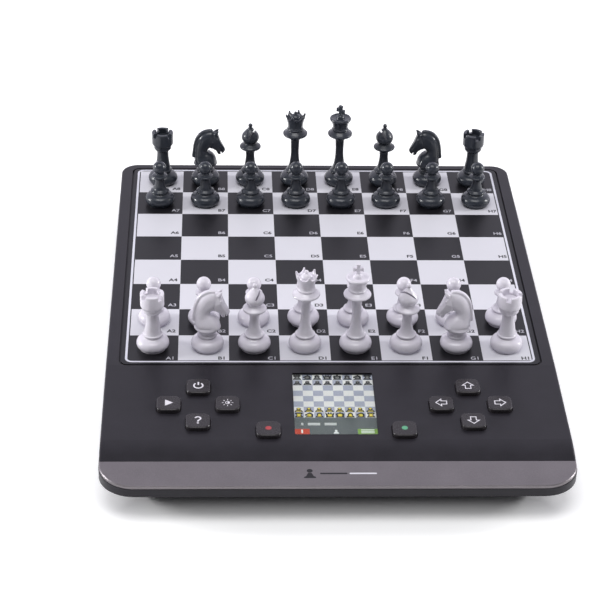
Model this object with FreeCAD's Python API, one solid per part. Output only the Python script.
import FreeCAD, Part
import math
import os
from FreeCAD import Vector

# Electronic chess computer with its set of chess pieces.
# Millimetres. +X to the player's right, +Y away from the player, +Z up.
# Origin: middle of the housing's plan, at the level of the table.

os.makedirs("parts", exist_ok=True)

# ---- driving dimensions ----
SQUARE = 24.0            # pitch of the chess squares
WIDTH = 211.2            # housing, left to right
DEPTH = 292.0            # housing, front to back
BOARD_Z = 24.0           # level of the playing surface above the table
SKIRT_Z = 13.9           # lower edge of the top cover's wall
BASE_Z = 1.5             # underside of the bottom cover, above the table
CORNER_FRONT = 16.0      # plan radius of the two front corners
CORNER_BACK = 9.0        # plan radius of the two back corners
WALL = 2.0               # wall of both covers
RIM_R = 1.0              # rounding of the top cover's upper edge
HULL_INSET = 18.0        # how far the bottom cover's flat base is set in

# playing field
BOARD_Y = DEPTH / 2 - 4.35 * SQUARE      # centre of the 8 x 8 field
FILM_X = 197.6           # printed film, left to right
FILM_Y = 196.4           # printed film, front to back
FILM_SHIFT = 0.9         # the film's centre lies this far behind the field's
FILM_THICK = 0.5
FILM_CORNER = 3.4
MEMBRANE_THICK = 0.9
GROOVE = 0.9             # dark gap round the film
FLOOR = 1.6              # floor under the membrane

# control panel: a flat slope, then a roll down to the front strip
PANEL_BACK = -56.3       # y where the slope starts
PANEL_FRONT = -114.4     # y where the roll starts
PANEL_DROP = 1.9         # fall of the slope
STRIP_BACK = -127.8      # y of the strip's back edge
ROLL_DROP = 4.1          # fall at the end of the roll
STRIP_THICK = 1.6
STRIP_PROUD = 0.2        # the strip stands this far above the roll's end
STRIP_DROP = 0.7         # fall of the strip towards the front
PANEL_ANGLE = math.degrees(math.atan(PANEL_DROP / (PANEL_BACK - PANEL_FRONT)))

# buttons and display, in the panel's own plane
KEY = 11.1               # side of a button
KEY_CORNER = 3.0
KEY_RISE = 2.0           # stands above the panel
KEY_GAP = 0.25           # gap to the hole
KEY_TRAVEL = 1.0
KEY_ROUND = 0.7          # rounding of the cap's top edge
STEM_R = 2.2
FLANGE = 13.0            # retaining flange under the cover
FLANGE_THICK = 0.8
CLUSTER_X = 62.2         # centre of each group of four buttons
CLUSTER_Y = -89.1
ARM = 13.4               # button centre to cluster centre
DOT_X = 30.6             # the two buttons beside the display
DOT_Y = -108.4
WINDOW_X = 37.3          # opening over the display
WINDOW_BACK = -62.7
WINDOW_FRONT = -110.7
WINDOW_SUNK = 0.65       # glass lies this far below the panel
WINDOW_THICK = 1.0
BOARD_DEPTH = 7.8        # top of the circuit board below the panel
BOARD_THICK = 1.6
MAT_THICK = 0.9          # silicone sheet on the circuit board
DOME_RISE = 0.95         # dome above the sheet, under each button
DOME_FREE = 0.35         # gap between a fully pressed stem and the flat dome

# battery bay in the bottom cover
BAY_X = 29.0             # half width inside
BAY_FRONT = 6.0
DOOR_FRONT = 10.0        # opening for the door
DOOR_BACK = 70.0
BAY_ROOF = 18.7          # underside of the bay's roof
BAY_WALL = 1.6
CELL_R = 7.1
CELL_PITCH = 14.5
CELL_LENGTH = 49.4
DOOR_THICK = 1.8

SCREW_X = 78.0
SCREW_YS = (-119.0, 0.0, 119.0)
SCREW_R = 1.4            # shank
HEAD_R = 2.7
BOSS_R = 3.5             # screw bosses of the top cover
PILOT_R = 1.5
FOOT_X = 74.0
FOOT_Y = 98.0
FOOT_R = 6.0
FOOT_HEIGHT = 2.0
SPEAKER_X = -52.0
SPEAKER_Y = -86.0
SPEAKER_R = 14.0
SOCKET_X = 62.0
SOCKET_Z = 18.2

HALF_W = WIDTH / 2
HALF_D = DEPTH / 2
UP = Vector(0, 0, 1)


# ---- helpers ----

def save(shape, node):
    shape.exportStep("parts/" + node + ".step")


def rounded_wire(x0, x1, y0, y1, r_front, r_back, z):
    """Closed outline of a rectangle with its own radius at front and back."""
    corners = [
        (x1, y0, r_front, -90),
        (x1, y1, r_back, 0),
        (x0, y1, r_back, 90),
        (x0, y0, r_front, 180),
    ]
    arcs = []
    for x, y, r, start in corners:
        cx = x - r if x == x1 else x + r
        cy = y - r if y == y1 else y + r
        arcs.append(Part.makeCircle(r, Vector(cx, cy, z), UP, start, start + 90))
    edges = []
    for index, arc in enumerate(arcs):
        edges.append(arc)
        following = arcs[(index + 1) % 4]
        edges.append(Part.makeLine(arc.lastVertex().Point, following.firstVertex().Point))
    return Part.Wire(Part.__sortEdges__(edges))


def rounded_block(x0, x1, y0, y1, z0, z1, r, r_back=None):
    wire = rounded_wire(x0, x1, y0, y1, r, r if r_back is None else r_back, z0)
    return Part.Face(wire).extrude(Vector(0, 0, z1 - z0))


def block(x0, x1, y0, y1, z0, z1):
    return Part.makeBox(x1 - x0, y1 - y0, z1 - z0, Vector(x0, y0, z0))


def cylinder(x, y, z0, z1, r):
    return Part.makeCylinder(r, z1 - z0, Vector(x, y, z0))


def plan_wire(inset, z):
    """The housing's outline seen from above, set in by a margin."""
    return rounded_wire(-HALF_W + inset, HALF_W - inset, -HALF_D + inset, HALF_D - inset,
                        max(CORNER_FRONT - inset, 1.0), max(CORNER_BACK - inset, 1.0), z)


def plan_prism(inset, z0, z1):
    return Part.Face(plan_wire(inset, z0)).extrude(Vector(0, 0, z1 - z0))


def chain(start, steps):
    """Edges from point to point: one point is a line, two an arc, more a curve."""
    edges = []
    here = start
    for step in steps:
        if len(step) == 1:
            edges.append(Part.makeLine(here, step[0]))
        elif len(step) == 2:
            edges.append(Part.Arc(here, step[0], step[1]).toShape())
        else:
            curve = Part.BSplineCurve()
            curve.interpolate([here] + step)
            edges.append(curve.toShape())
        here = step[-1]
    return edges


def across(outline, x0, x1):
    """Solid of a side outline (points are y, z) drawn across from x0 to x1."""
    steps = [[Vector(x0, y, z) for y, z in step] for step in outline]
    edges = chain(steps[0][0], steps[1:] + [[steps[0][0]]])
    return Part.Face(Part.Wire(edges)).extrude(Vector(x1 - x0, 0, 0))


def turned(outline):
    """Solid of revolution about Z; the outline's points are radius, height."""
    steps = [[Vector(r, 0, z) for r, z in step] for step in outline]
    edges = chain(Vector(0, 0, 0), steps)
    end = steps[-1][-1]
    edges.append(Part.makeLine(end, Vector(0, 0, 0)))
    solid = Part.Face(Part.Wire(edges)).revolve(Vector(0, 0, 0), UP, 360)
    return Part.Solid(solid.Shells[0])


def joined(shapes):
    return shapes[0].multiFuse(shapes[1:]).removeSplitter()


def on_panel(shape):
    """Tilts a shape built on a level panel to the slope of the real one."""
    tilted = shape.copy()
    tilted.rotate(Vector(0, PANEL_BACK, BOARD_Z), Vector(1, 0, 0), PANEL_ANGLE)
    return tilted


def key_places():
    """Button name and its centre on the panel."""
    return {
        "power_button": (-CLUSTER_X, CLUSTER_Y + ARM),
        "play_button": (-CLUSTER_X - ARM, CLUSTER_Y),
        "brightness_button": (-CLUSTER_X + ARM, CLUSTER_Y),
        "help_button": (-CLUSTER_X, CLUSTER_Y - ARM),
        "red_button": (-DOT_X, DOT_Y),
        "green_button": (DOT_X, DOT_Y),
        "up_button": (CLUSTER_X, CLUSTER_Y + ARM),
        "left_button": (CLUSTER_X - ARM, CLUSTER_Y),
        "right_button": (CLUSTER_X + ARM, CLUSTER_Y),
        "down_button": (CLUSTER_X, CLUSTER_Y - ARM),
    }


def square_block(centre, side, corner, z0, z1):
    x, y = centre
    half = side / 2
    return rounded_block(x - half, x + half, y - half, y + half, z0, z1, corner)


def film_outline(margin, z0, z1):
    cy = BOARD_Y + FILM_SHIFT
    return rounded_block(-FILM_X / 2 - margin, FILM_X / 2 + margin,
                         cy - FILM_Y / 2 - margin, cy + FILM_Y / 2 + margin,
                         z0, z1, FILM_CORNER + margin)


# ---- housing ----

BOARD_POSTS = [(-80.0, -68.0), (80.0, -68.0), (-42.0, -112.0), (42.0, -112.0)]
MEMBRANE_Z = BOARD_Z - FILM_THICK - MEMBRANE_THICK
TAIL_X = 58.0            # centre of each membrane tail
TAIL_WIDTH = 18.0
TAIL_Y = -50.0


def housing_outline():
    """Side outline of the top cover: field, slope, roll, step for the strip."""
    roll_mid = (PANEL_FRONT + STRIP_BACK) / 2
    slope_end = BOARD_Z - PANEL_DROP
    return [
        [(HALF_D, SKIRT_Z)],
        [(HALF_D, BOARD_Z)],
        [(PANEL_BACK, BOARD_Z)],
        [(PANEL_FRONT, slope_end)],
        [(roll_mid, slope_end - 0.3 * (ROLL_DROP - PANEL_DROP)), (STRIP_BACK, BOARD_Z - ROLL_DROP)],
        [(STRIP_BACK, strip_top(STRIP_BACK) - STRIP_THICK)],
        [(-HALF_D, strip_top(-HALF_D) - STRIP_THICK)],
        [(-HALF_D, SKIRT_Z)],
    ]


def strip_top(y):
    back = BOARD_Z - ROLL_DROP + STRIP_PROUD
    return back - STRIP_DROP * (STRIP_BACK - y) / (HALF_D + STRIP_BACK)


def cover_cavity():
    """The hollow inside the top cover, down past its open underside."""
    floor_under = MEMBRANE_Z - FLOOR
    step_y = PANEL_BACK - WALL
    slope_end = BOARD_Z - PANEL_DROP - WALL
    ledge_y = STRIP_BACK + WALL
    roll_end = BOARD_Z - ROLL_DROP - WALL + 0.45
    ledge_z = strip_top(ledge_y) - STRIP_THICK - WALL
    outline = [
        [(HALF_D, SKIRT_Z - 1)],
        [(HALF_D, floor_under)],
        [(step_y, floor_under)],
        [(step_y, BOARD_Z - WALL - 0.07)],
        [(PANEL_FRONT, slope_end)],
        [((PANEL_FRONT + ledge_y) / 2, slope_end - 0.55), (ledge_y, roll_end)],
        [(ledge_y, ledge_z)],
        [(-HALF_D, ledge_z - STRIP_DROP)],
        [(-HALF_D, SKIRT_Z - 1)],
    ]
    hollow = across(outline, -HALF_W, HALF_W)
    return hollow.common(plan_prism(WALL, SKIRT_Z - 1, BOARD_Z))


def rim_edges(shape):
    """Outer top edges that follow the plan outline behind the strip."""
    picked = []
    for edge in shape.Edges:
        box = edge.BoundBox
        middle = edge.CenterOfMass
        outside = abs(middle.x) > HALF_W - 6 or middle.y > HALF_D - 4
        if box.ZMin > BOARD_Z - ROLL_DROP - 0.1 and outside and box.YMax > STRIP_BACK + 1:
            picked.append(edge)
    return picked


def make_top_cover():
    outer = across(housing_outline(), -HALF_W, HALF_W)
    outer = outer.common(plan_prism(0, SKIRT_Z, BOARD_Z))
    outer = outer.makeFillet(RIM_R, rim_edges(outer))
    cover = outer.cut(cover_cavity())
    cover = cover.cut(film_outline(GROOVE, MEMBRANE_Z, BOARD_Z + 1))

    under_field = MEMBRANE_Z - 0.6
    boss_top = {SCREW_YS[0]: BOARD_Z - 4.4, SCREW_YS[1]: under_field, SCREW_YS[2]: under_field}
    bosses = []
    pilots = []
    for y in SCREW_YS:
        for x in (-SCREW_X, SCREW_X):
            bosses.append(cylinder(x, y, 7.0, boss_top[y], BOSS_R))
            pilots.append(cylinder(x, y, 6.0, 17.0, PILOT_R))
    for x, y in BOARD_POSTS:
        post = cylinder(x, y, BOARD_Z - BOARD_DEPTH, BOARD_Z - 1.2, 2.5)
        tip = cylinder(x, y, BOARD_Z - BOARD_DEPTH - BOARD_THICK - 0.8, BOARD_Z - BOARD_DEPTH, 1.3)
        bosses.append(on_panel(post.fuse(tip)))
    cradle = block(SOCKET_X - 6.5, SOCKET_X - 4.8, 133.0, HALF_D - 1, 15.8, MEMBRANE_Z - 1)
    bosses.append(cradle)
    bosses.append(cradle.mirror(Vector(SOCKET_X, 0, 0), Vector(1, 0, 0)))
    cover = cover.multiFuse(bosses)

    holes = []
    for centre in key_places().values():
        holes.append(on_panel(square_block(centre, KEY + 2 * KEY_GAP, KEY_CORNER + KEY_GAP,
                                           BOARD_Z - 6, BOARD_Z + 3)))
    half = WINDOW_X / 2
    holes.append(on_panel(rounded_block(-half, half, WINDOW_FRONT, WINDOW_BACK,
                                        BOARD_Z - 6, BOARD_Z + 3, 0.6)))
    holes.append(on_panel(block(-half - 2.2, half + 2.2, WINDOW_FRONT - 1.6, WINDOW_BACK + 2.2,
                                BOARD_Z - 6, BOARD_Z - WINDOW_SUNK)))
    for x in (-TAIL_X, TAIL_X):
        holes.append(block(x - TAIL_WIDTH / 2 - 1, x + TAIL_WIDTH / 2 + 1, TAIL_Y - 1.0, TAIL_Y + 1.4,
                           15.0, BOARD_Z - 1))
    holes.append(Part.makeCylinder(2.9, 8, Vector(SOCKET_X, HALF_D - 5, SOCKET_Z), Vector(0, 1, 0)))
    return cover.cut(Part.makeCompound(pilots + holes))


def make_front_strip():
    outline = [
        [(STRIP_BACK - 0.1, strip_top(STRIP_BACK))],
        [(-HALF_D, strip_top(-HALF_D))],
        [(-HALF_D, strip_top(-HALF_D) - STRIP_THICK + 0.05)],
        [(STRIP_BACK - 0.1, strip_top(STRIP_BACK) - STRIP_THICK + 0.05)],
    ]
    strip = across(outline, -HALF_W, HALF_W).common(plan_prism(0.25, 10, 30))
    top = [edge for edge in strip.Edges if edge.BoundBox.ZMin > strip_top(-HALF_D) - 0.05]
    return strip.makeChamfer(0.35, top)


def hull(inset_top, inset_base, z_top, z_base):
    return Part.makeLoft([plan_wire(inset_top, z_top), plan_wire(inset_base, z_base)], True, True)


def make_bottom_cover():
    """Tray with sloping sides, a lip inside the top cover, and the battery bay."""
    rim = 1.0
    tray = hull(rim, HULL_INSET, SKIRT_Z, BASE_Z)
    tray = tray.cut(hull(rim + WALL, HULL_INSET + WALL - 0.6, SKIRT_Z + 0.01, BASE_Z + WALL))
    lip = plan_prism(WALL + 0.15, SKIRT_Z, SKIRT_Z + 2).cut(plan_prism(WALL + 1.6, SKIRT_Z - 1, SKIRT_Z + 3))
    land = plan_prism(rim, SKIRT_Z - 1.2, SKIRT_Z).cut(plan_prism(WALL + 1.6, SKIRT_Z - 2, SKIRT_Z + 1))
    land = land.common(hull(rim, HULL_INSET, SKIRT_Z, BASE_Z))

    bay = block(-BAY_X - BAY_WALL, BAY_X + BAY_WALL, BAY_FRONT - BAY_WALL, DOOR_BACK + BAY_WALL,
                BASE_Z, BAY_ROOF + 1.4)
    pieces = [tray, land, lip, bay]
    for y in SCREW_YS:
        for x in (-SCREW_X, SCREW_X):
            pieces.append(cylinder(x, y, BASE_Z, 6.9, 4.4))
    ring = cylinder(SPEAKER_X, SPEAKER_Y, BASE_Z + 1, 7.5, SPEAKER_R + 1.6)
    pieces.append(ring)
    cover = pieces[0].multiFuse(pieces[1:])

    cuts = [block(-BAY_X, BAY_X, BAY_FRONT, DOOR_BACK, BASE_Z + WALL, BAY_ROOF),
            block(-BAY_X, BAY_X, DOOR_FRONT, DOOR_BACK, BASE_Z - 1, BASE_Z + WALL + 1),
            cylinder(SPEAKER_X, SPEAKER_Y, BASE_Z + WALL, 8.0, SPEAKER_R + 0.2),
            block(SOCKET_X - 7, SOCKET_X + 7, 132.0, HALF_D - WALL, 13.0, 17.0)]
    for y in SCREW_YS:
        for x in (-SCREW_X, SCREW_X):
            cuts.append(cylinder(x, y, BASE_Z - 1, 4.9, HEAD_R + 0.4))
            cuts.append(cylinder(x, y, 4.0, 8.0, SCREW_R + 0.3))
    for x in (-FOOT_X, FOOT_X):
        for y in (-FOOT_Y, FOOT_Y):
            cuts.append(cylinder(x, y, BASE_Z - 1, FOOT_HEIGHT, FOOT_R))
    for ring_r, count in ((0, 1), (4.0, 6), (8.0, 12)):
        for index in range(count):
            turn = math.radians(360 * index / count)
            cuts.append(cylinder(SPEAKER_X + ring_r * math.cos(turn), SPEAKER_Y + ring_r * math.sin(turn),
                                 BASE_Z - 1, 6.0, 0.9))
    for x in (-13.0, 13.0):
        cuts.append(block(x - 4, x + 4, BAY_FRONT - 3, BAY_FRONT + 1, 9.0, 12.0))
    return cover.cut(Part.makeCompound(cuts))


def make_battery_cover():
    """Door over the battery bay: plate, two hooked tabs at the front, a finger latch at the back."""
    gap = 0.3
    top = BASE_Z + DOOR_THICK
    plate = rounded_block(-BAY_X + gap, BAY_X - gap, DOOR_FRONT + gap, DOOR_BACK - gap, BASE_Z, top, 0.8)
    tabs = []
    for x in (-18.0, 18.0):
        riser = block(x - 4, x + 4, DOOR_FRONT + gap, DOOR_FRONT + 2.2, top - 0.2, top + 1.5)
        hook = block(x - 4, x + 4, DOOR_FRONT - 2.6, DOOR_FRONT + 2.2, top + 0.4, top + 1.5)
        tabs.append(riser.fuse(hook))
    ribs = [block(x - 0.6, x + 0.6, DOOR_FRONT + 6, DOOR_BACK - 12, top - 0.2, top + 0.3)
            for x in (-20.0, 0.0, 20.0)]
    door = joined([plate] + tabs + ribs)
    slot = rounded_block(-8.0, 8.0, DOOR_BACK - 9, DOOR_BACK + 1, BASE_Z - 1, top + 1, 2.0)
    tongue = rounded_block(-7.0, 7.0, DOOR_BACK - 12, DOOR_BACK - 1.2, BASE_Z, top, 1.5)
    grip = Part.makeCylinder(5.0, 30, Vector(-15, DOOR_BACK - 5.2, BASE_Z - 4.3), Vector(1, 0, 0))
    tongue = tongue.cut(grip.common(block(-5, 5, DOOR_BACK - 12, DOOR_BACK, BASE_Z - 2, top)))
    return joined([door.cut(slot), tongue])


def make_rubber_feet():
    feet = []
    for x in (-FOOT_X, FOOT_X):
        for y in (-FOOT_Y, FOOT_Y):
            foot = cylinder(x, y, 0, FOOT_HEIGHT, FOOT_R - 0.1)
            lower = [edge for edge in foot.Edges if edge.BoundBox.ZMax < 0.01]
            feet.append(foot.makeFillet(0.5, lower))
    return Part.makeCompound(feet)


def make_screws():
    """Self-tapping screws: pan head with a cross slot, plain shank."""
    screws = []
    for y in SCREW_YS:
        for x in (-SCREW_X, SCREW_X):
            head = cylinder(x, y, 2.9, 4.85, HEAD_R)
            head = head.makeFillet(0.6, [edge for edge in head.Edges if edge.BoundBox.ZMax < 3.0])
            screw = head.fuse(cylinder(x, y, 4.8, 15.0, SCREW_R))
            cross = block(x - 1.6, x + 1.6, y - 0.35, y + 0.35, 2.8, 3.9)
            cross = cross.fuse(block(x - 0.35, x + 0.35, y - 1.6, y + 1.6, 2.8, 3.9))
            screws.append(screw.cut(cross))
    return Part.makeCompound(screws)


# ---- playing field ----

def make_playing_surface():
    return film_outline(0, BOARD_Z - FILM_THICK, BOARD_Z)


def make_sensor_membrane():
    return film_outline(-0.3, MEMBRANE_Z, BOARD_Z - FILM_THICK)


# ---- display, buttons, electronics ----

def make_display_window():
    half = WINDOW_X / 2 + 1.9
    top = BOARD_Z - WINDOW_SUNK
    pane = block(-half, half, WINDOW_FRONT - 1.3, WINDOW_BACK + 1.9, top - WINDOW_THICK, top)
    return on_panel(pane)


def make_display_module():
    """Display panel in its moulded frame, standing on four pegs."""
    top = BOARD_Z - WALL - 0.15
    half = WINDOW_X / 2 + 2.6
    front = WINDOW_FRONT - 3.2
    back = WINDOW_BACK + 2.4
    frame = rounded_block(-half, half, front, back, top - 3.0, top, 0.8)
    pegs = []
    for x in (-half + 3, half - 3):
        for y in (front + 3, back - 3):
            pegs.append(cylinder(x, y, BOARD_Z - BOARD_DEPTH, top - 2.8, 1.6))
    return on_panel(joined([frame] + pegs))


def make_button(centre):
    """Cap with rounded top edge, retaining flange and the stem that meets the mat."""
    x, y = centre
    cap = square_block(centre, KEY, KEY_CORNER, BOARD_Z - WALL - 1.2, BOARD_Z + KEY_RISE)
    upper = [edge for edge in cap.Edges if edge.BoundBox.ZMin > BOARD_Z + KEY_RISE - 0.01]
    cap = cap.makeFillet(KEY_ROUND, upper)
    flange_top = BOARD_Z - WALL - 0.25
    flange = square_block(centre, FLANGE, KEY_CORNER + 0.8, flange_top - FLANGE_THICK, flange_top)
    dome_top = BOARD_Z - BOARD_DEPTH + MAT_THICK + DOME_RISE
    stem = cylinder(x, y, dome_top + KEY_TRAVEL + DOME_FREE, flange_top - 0.2, STEM_R)
    return on_panel(joined([cap, flange, stem]))


def make_keypad_mat():
    """Two silicone mats on the circuit board, with a dome under each button."""
    mats = []
    bottom = BOARD_Z - BOARD_DEPTH
    sheet_top = bottom + MAT_THICK
    for side in (-1, 1):
        x0, x1 = sorted((side * 23.5, side * 84.0))
        sheet = rounded_block(x0, x1, -114.0, -67.0, bottom, sheet_top, 2.0)
        domes = []
        for x, y in key_places().values():
            if x * side > 0:
                foot = Vector(x, y, sheet_top - 0.05)
                domes.append(Part.makeCone(4.2, STEM_R + 0.4, DOME_RISE + 0.05, foot))
        mat = joined([sheet] + domes)
        for x, y in BOARD_POSTS:
            mat = mat.cut(cylinder(x, y, bottom - 1, sheet_top + 3, 3.0))
        mats.append(on_panel(mat))
    return Part.makeCompound(mats)


def make_main_board():
    """Circuit board with its chips and the sockets for the ribbons and leads."""
    top = BOARD_Z - BOARD_DEPTH
    bottom = top - BOARD_THICK
    parts = [rounded_block(-88.0, 88.0, -115.0, -61.0, bottom, top, 2.0)]
    parts.append(block(-9, 9, -88, -70, bottom - 1.4, bottom + 0.2))
    parts.append(block(16, 28, -90, -80, bottom - 1.2, bottom + 0.2))
    parts.append(cylinder(-20, -74, bottom - 6.0, bottom + 0.2, 2.5))
    half_plug = TAIL_WIDTH / 2 + 1.5
    for x in (-TAIL_X, TAIL_X):
        parts.append(block(x - half_plug, x + half_plug, -66.4, -62.2, top - 0.2, top + 1.8))
    parts.append(block(-8, 8, -65.5, -61.5, top - 0.2, top + 0.8))
    board = joined(parts)
    for x, y in BOARD_POSTS:
        board = board.cut(cylinder(x, y, bottom - 1, top + 1, 1.5))
    return on_panel(board)


def make_speaker():
    """Small round loudspeaker, cone down, magnet up."""
    magnet_r = 7.4
    body = turned([
        [(SPEAKER_R, 0)],
        [(SPEAKER_R, 1.6)],
        [(12.4, 1.6)],
        [(magnet_r, 3.6)],
        [(magnet_r, 6.4)],
        [(0, 6.4)],
    ])
    cone = turned([[(11.6, 0)], [(4.0, 1.3)], [(0, 1.3)]])
    body = body.cut(cone)
    body.translate(Vector(SPEAKER_X, SPEAKER_Y, BASE_Z + WALL))
    return body


def make_dc_socket():
    """Low-voltage inlet: body with a round nose, a blind hole and its centre pin."""
    body = block(SOCKET_X - 4.5, SOCKET_X + 4.5, 133.5, HALF_D - WALL - 0.1, SOCKET_Z - 2.6, SOCKET_Z + 2.6)
    back = Vector(0, 1, 0)
    nose = Part.makeCylinder(2.7, 3, Vector(SOCKET_X, HALF_D - 3.4, SOCKET_Z), back)
    bore = Part.makeCylinder(1.8, 9, Vector(SOCKET_X, HALF_D - 9, SOCKET_Z), back)
    pin = Part.makeCylinder(0.65, 8, Vector(SOCKET_X, HALF_D - 9.5, SOCKET_Z), back)
    return joined([joined([body, nose]).cut(bore), pin])


CELL_Z = BASE_Z + DOOR_THICK + 0.6 + CELL_R


def cell_places():
    """Each cell's y, and the side its positive end points to."""
    return [(DOOR_FRONT + 8.0 + CELL_PITCH * index, (1, -1)[index % 2]) for index in range(4)]


def make_batteries():
    """Four AA cells side by side, turned alternately."""
    cells = []
    for y, way in cell_places():
        start = Vector(-way * CELL_LENGTH / 2, y, CELL_Z)
        can = Part.makeCylinder(CELL_R, CELL_LENGTH - 0.4, start, Vector(way, 0, 0))
        can = can.makeFillet(0.6, can.Edges[:1] + can.Edges[2:])
        nub_start = Vector(way * (CELL_LENGTH / 2 - 0.5), y, CELL_Z)
        nub = Part.makeCylinder(2.7, 1.4, nub_start, Vector(way, 0, 0))
        cells.append(can.fuse(nub))
    return Part.makeCompound(cells)


LEAF_THICK = 0.4


def bow_face(reach, half):
    """Flat area between a leaf's plate and an arc that bows out to the reach."""
    low = Vector(LEAF_THICK, 0, -half)
    high = Vector(LEAF_THICK, 0, half)
    arc = Part.Arc(low, Vector(reach, 0, 0), high).toShape()
    return Part.Face(Part.Wire([arc, Part.makeLine(high, low)]))


def make_battery_contacts():
    """Sprung leaves at both ends of each cell: a flat plate and a bowed tongue."""
    contacts = []
    tongue = Vector(0, 4.0, 0)
    for y, way in cell_places():
        for end in (-1, 1):
            nub_height = 0.9 if end == way else 0.0
            reach = BAY_X - CELL_LENGTH / 2 - nub_height - 0.15
            bow = bow_face(reach, 4.0).extrude(tongue)
            bow = bow.cut(bow_face(reach - LEAF_THICK, 3.4).extrude(tongue))
            bow.translate(-tongue / 2)
            leaf = joined([block(0, LEAF_THICK, -4.5, 4.5, -4.8, 4.8), bow])
            if end == 1:
                leaf.rotate(Vector(0, 0, 0), UP, 180)
            leaf.translate(Vector(end * BAY_X, y, CELL_Z))
            contacts.append(leaf)
    return Part.makeCompound(contacts)


def make_ribbon_cables():
    """Flat tails: two from the sensor membrane, one from the display, each to its board socket."""
    ribbons = []
    thick = 0.3
    run_z = BOARD_Z - BOARD_DEPTH + 0.6
    bend = 2.0
    end_y = -61.9
    outline = [
        [(TAIL_Y + thick, MEMBRANE_Z)],
        [(TAIL_Y, MEMBRANE_Z)],
        [(TAIL_Y, run_z + bend)],
        [(TAIL_Y - bend * (1 - math.cos(math.pi / 4)), run_z + bend * (1 - math.sin(math.pi / 4))),
         (TAIL_Y - bend, run_z)],
        [(end_y, run_z)],
        [(end_y, run_z - thick)],
        [(TAIL_Y - bend, run_z - thick)],
        [(TAIL_Y - bend + (bend + thick) * math.sin(math.pi / 4),
          run_z + bend - (bend + thick) * math.cos(math.pi / 4)),
         (TAIL_Y + thick, run_z + bend)],
    ]
    for x in (-TAIL_X, TAIL_X):
        ribbons.append(across(outline, x - TAIL_WIDTH / 2, x + TAIL_WIDTH / 2))
    behind = WINDOW_BACK + 2.4
    high = BOARD_Z - 5.2
    low = BOARD_Z - BOARD_DEPTH + 0.25
    flex = [block(-7, 7, behind, behind + 0.9, high, high + 0.15),
            block(-7, 7, behind + 0.75, behind + 0.9, low, high + 0.15),
            block(-7, 7, -61.5, behind + 0.9, low, low + 0.15)]
    ribbons.append(on_panel(joined(flex)))
    return Part.makeCompound(ribbons)


def lead(points, radius):
    """Round insulated lead: straight runs joined by tangent arcs."""
    bend = 4.0
    edges = []
    here = points[0]
    for index in range(1, len(points) - 1):
        corner = points[index]
        into = (corner - points[index - 1]).normalize()
        out = (points[index + 1] - corner).normalize()
        turn = math.acos(max(-1, min(1, into.dot(out))))
        cut = bend * math.tan(turn / 2)
        start = corner - into * cut
        end = corner + out * cut
        bisector = (out - into).normalize()
        centre = corner + bisector * (bend / math.cos(turn / 2))
        middle = centre - bisector * bend
        edges.append(Part.makeLine(here, start))
        edges.append(Part.Arc(start, middle, end).toShape())
        here = end
    edges.append(Part.makeLine(here, points[-1]))
    path = Part.Wire(edges)
    ring = Part.Wire(Part.makeCircle(radius, points[0], points[1] - points[0]))
    return path.makePipeShell([ring], True, False)


def make_lead_wires():
    """Leads from the battery bay, the speaker and the power inlet to the circuit board."""
    under = BOARD_Z - BOARD_DEPTH - BOARD_THICK - 2.6
    leads = []
    for x in (-13.0, 13.0):
        leads.append(lead([Vector(x, 4.2, 10.5), Vector(x, -30.0, 10.5), Vector(x, -52.0, 5.5),
                           Vector(x, -66.0, 5.5), Vector(x, -66.0, under + 1.0)], 0.7))
    for x in (-1.2, 1.2):
        leads.append(lead([Vector(SOCKET_X + x, 133.3, SOCKET_Z), Vector(SOCKET_X + x, 108.0, SOCKET_Z),
                           Vector(SOCKET_X - 8 + x, 70.0, 12.0), Vector(SOCKET_X - 8 + x, -40.0, 8.0),
                           Vector(SOCKET_X - 8 + x, -78.0, 8.0),
                           Vector(SOCKET_X - 8 + x, -78.0, under + 0.6)], 0.6))
    return Part.makeCompound(leads)


# ---- chess pieces ----
# Every piece stands on the same base: a narrow foot, a round bulge and a ring.
BASE = [
    [(6.35, 0)],
    [(6.5, 0.9)],
    [(7.45, 1.7), (7.75, 3.0)],
    [(7.1, 4.9), (5.2, 6.1)],
    [(4.3, 6.7)],
    [(4.3, 7.2)],
    [(4.85, 7.8), (4.3, 8.4)],
]


def make_pawn():
    ball_r = 3.5
    ball_z = 21.2
    neck_r = 2.35
    neck_z = ball_z - math.sqrt(ball_r ** 2 - neck_r ** 2)
    return turned(BASE + [
        [(3.3, 9.4), (2.6, 11.8), (2.2, 14.6)],
        [(3.5, 15.8)],
        [(4.1, 16.4), (3.5, 17.1)],
        [(neck_r, 17.6)],
        [(neck_r, neck_z)],
        [(ball_r, ball_z), (0, ball_z + ball_r)],
    ])


def make_rook(turn):
    tower_r = 5.65
    top = 30.2
    well_r = 4.0
    body = turned(BASE + [
        [(3.95, 9.6), (3.5, 12.5), (3.1, 16.0), (3.05, 19.2)],
        [(3.9, 19.9), (4.6, 20.9)],
        [(4.75, 22.6)],
        [(5.4, 23.2), (tower_r, 24.0)],
        [(tower_r, top - 0.5)],
        [(tower_r - 0.15, top - 0.15), (tower_r - 0.5, top)],
        [(well_r, top)],
        [(well_r - 0.1, 27.0)],
        [(0, 26.6)],
    ])
    for index in range(4):
        notch = block(well_r - 1.5, tower_r + 1, -1.1, 1.1, top - 2.2, top + 1)
        notch.rotate(Vector(0, 0, 0), UP, 45 + 90 * index)
        body = body.cut(notch)
    body.rotate(Vector(0, 0, 0), UP, turn)
    return body


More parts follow.
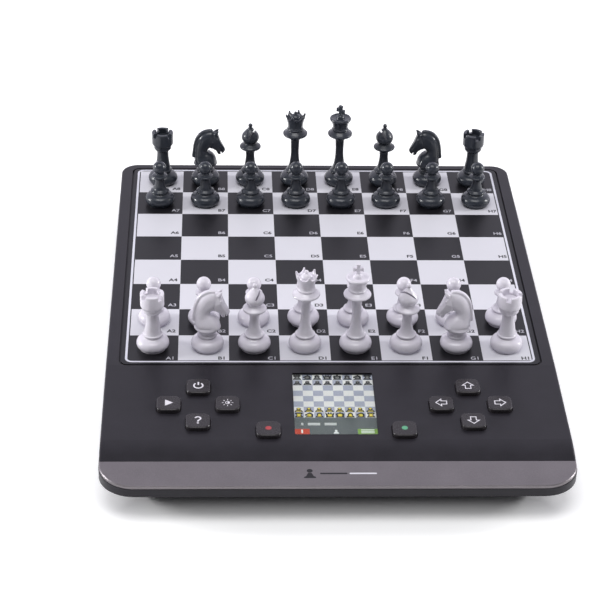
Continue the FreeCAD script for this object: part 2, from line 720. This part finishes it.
def make_bishop(turn):
    finial_r = 1.15
    finial_z = 34.2
    neck_r = 0.8
    neck_z = finial_z - math.sqrt(finial_r ** 2 - neck_r ** 2)
    body = turned(BASE + [
        [(3.4, 9.7), (2.75, 12.2), (2.3, 16.0), (2.4, 18.6)],
        [(3.0, 19.9), (5.2, 21.1)],
        [(5.7, 21.8), (5.3, 22.5)],
        [(3.6, 23.6)],
        [(3.2, 24.5)],
        [(4.65, 27.7), (3.75, 29.8)],
        [(2.6, 31.2), (1.6, 32.2), (neck_r, neck_z)],
        [(finial_r, finial_z), (0, finial_z + finial_r)],
    ])
    slit = block(0.8, 8.0, -7.0, 7.0, -0.45, 0.45)
    slit.rotate(Vector(0, 0, 0), Vector(0, 1, 0), -58)
    slit.translate(Vector(-0.2, 0, 27.6))
    body = body.cut(slit)
    body.rotate(Vector(0, 0, 0), UP, turn)
    return body


# The king and the queen share everything up to the bead under the crown.
ROYAL = BASE + [
    [(3.6, 9.6), (2.85, 12.0), (2.3, 16.0), (2.15, 20.0), (2.35, 25.6)],
    [(3.2, 27.3), (5.9, 28.9)],
    [(6.55, 29.8), (6.1, 30.6)],
    [(4.1, 31.9)],
    [(4.4, 32.6), (4.0, 33.3)],
    [(3.9, 34.0)],
]


def make_queen(turn):
    tip_z = 40.8
    knob_r = 0.95
    knob_z = 41.6
    neck_r = 0.75
    neck_z = knob_z - math.sqrt(knob_r ** 2 - neck_r ** 2)
    body = turned(ROYAL + [
        [(4.05, 35.2), (4.4, 37.1), (5.5, tip_z)],
        [(4.7, tip_z)],
        [(3.5, 38.5)],
        [(2.9, 38.7)],
        [(2.2, 40.3), (neck_r, neck_z)],
        [(knob_r, knob_z), (0, knob_z + knob_r)],
    ])
    for index in range(6):
        scoop = Part.makeCylinder(2.3, 6.0, Vector(2.6, 0, tip_z + 0.35), Vector(1, 0, 0))
        scoop.rotate(Vector(0, 0, 0), UP, 60 * index + 30)
        body = body.cut(scoop)
    body.rotate(Vector(0, 0, 0), UP, turn)
    return body


def make_king(turn):
    body = turned(ROYAL + [
        [(4.3, 35.6), (4.9, 37.1), (5.4, 37.8)],
        [(5.7, 38.5), (5.1, 39.3)],
        [(3.4, 38.8), (2.3, 38.8)],
        [(1.8, 40.1), (1.1, 40.8)],
        [(0, 40.8)],
    ])
    upright = block(-1.05, 1.05, -0.85, 0.85, 40.6, 46.0)
    arms = block(-2.5, 2.5, -0.85, 0.85, 42.2, 44.2)
    cross = joined([upright, arms])
    cross = cross.makeChamfer(0.25, [edge for edge in cross.Edges if edge.BoundBox.YLength < 0.01])
    body = joined([body, cross])
    body.rotate(Vector(0, 0, 0), UP, turn)
    return body


HORSE = [
    [(-4.6, 10.6)],
    [(-6.3, 12.9), (-7.1, 15.0)],
    [(-6.6, 21.9), (-5.2, 26.7), (-2.0, 30.5), (2.4, 31.8)],
    [(4.3, 31.3)],
    [(4.5, 30.0)],
    [(6.9, 31.2)],
    [(6.8, 29.0)],
    [(7.6, 26.4), (8.6, 23.7), (10.2, 20.9)],
    [(10.7, 19.5), (9.4, 17.6)],
    [(7.1, 16.9)],
    [(5.6, 19.5), (2.9, 21.1), (1.2, 19.9)],
    [(2.6, 17.7), (4.6, 15.4), (5.8, 12.9)],
    [(5.0, 10.6)],
]
HORSE_FRONT = [
    [(-4.4, 10.6)],
    [(-5.4, 12.6), (-4.2, 15.4), (-3.1, 19.6), (-3.0, 25.2), (-1.9, 30.4), (-1.5, 32.0)],
    [(1.5, 32.0)],
    [(1.9, 30.4), (3.0, 25.2), (3.1, 19.6), (4.2, 15.4), (5.4, 12.6), (4.4, 10.6)],
]


def make_knight(turn):
    """Turned pedestal with a horse's neck and head, carved in side view and front view."""
    pedestal = turned(BASE + [
        [(4.15, 9.2)],
        [(5.3, 10.5), (5.6, 12.3)],
        [(4.9, 13.0)],
        [(0, 13.0)],
    ])
    side_steps = [[Vector(x, -8, z) for x, z in step] for step in HORSE]
    side_edges = chain(side_steps[0][0], side_steps[1:] + [[side_steps[0][0]]])
    side = Part.Face(Part.Wire(side_edges)).extrude(Vector(0, 16, 0))
    horse = side.common(across(HORSE_FRONT, -12, 12))
    head = horse.common(joined([block(-12, 6.2, -8, 8, 8, 36), block(6.0, 12, -2.5, 2.5, 8, 36)]))
    body = joined([pedestal, head])
    body.rotate(Vector(0, 0, 0), UP, turn)
    return body


FILES = "abcdefgh"
OFFICERS = [
    ("rook_a", make_rook, 0, 0),
    ("knight_b", make_knight, 0, 0),
    ("bishop_c", make_bishop, 0, -12),
    ("queen", make_queen, 42, 9),
    ("king", make_king, 0, -45),
    ("bishop_f", make_bishop, 235, 192),
    ("knight_g", make_knight, 180, 180),
    ("rook_h", make_rook, 31, 65),
]
SET_BACK = {"white": (1.4, 0.7), "black": (0, 0)}     # officers, pawns
NUDGED = {"white_knight_b": 1.8, "black_rook_a": 1.1}     # to the right of the middle of their squares


def place(shape, file_index, rank_index, shift, back):
    x = (file_index - 3.5) * SQUARE + shift
    y = BOARD_Y + (rank_index - 3.5) * SQUARE + back
    shape.translate(Vector(x, y, BOARD_Z))
    return shape


def save_chess_pieces():
    for colour, officer_rank, pawn_rank in (("white", 0, 1), ("black", 7, 6)):
        officers_back, pawns_back = SET_BACK[colour]
        for index, (name, maker, white_turn, black_turn) in enumerate(OFFICERS):
            node = colour + "_" + name
            turn = white_turn if colour == "white" else black_turn
            save(place(maker(turn), index, officer_rank, NUDGED.get(node, 0), officers_back), node)
        for index, letter in enumerate(FILES):
            save(place(make_pawn(), index, pawn_rank, 0, pawns_back), colour + "_pawn_" + letter)


# ---- build ----

save(make_top_cover(), "top_cover")
save(make_front_strip(), "front_strip")
save(make_bottom_cover(), "bottom_cover")
save(make_battery_cover(), "battery_cover")
save(make_rubber_feet(), "rubber_feet")
save(make_screws(), "housing_screws")
save(make_playing_surface(), "playing_surface")
save(make_sensor_membrane(), "sensor_membrane")
save(make_display_window(), "display_window")
save(make_display_module(), "display_module")
save(make_keypad_mat(), "keypad_mat")
save(make_main_board(), "main_board")
save(make_speaker(), "speaker")
save(make_dc_socket(), "dc_socket")
save(make_batteries(), "batteries")
save(make_battery_contacts(), "battery_contacts")
save(make_ribbon_cables(), "ribbon_cables")
save(make_lead_wires(), "lead_wires")
for key_name, key_centre in key_places().items():
    save(make_button(key_centre), key_name)
save_chess_pieces()
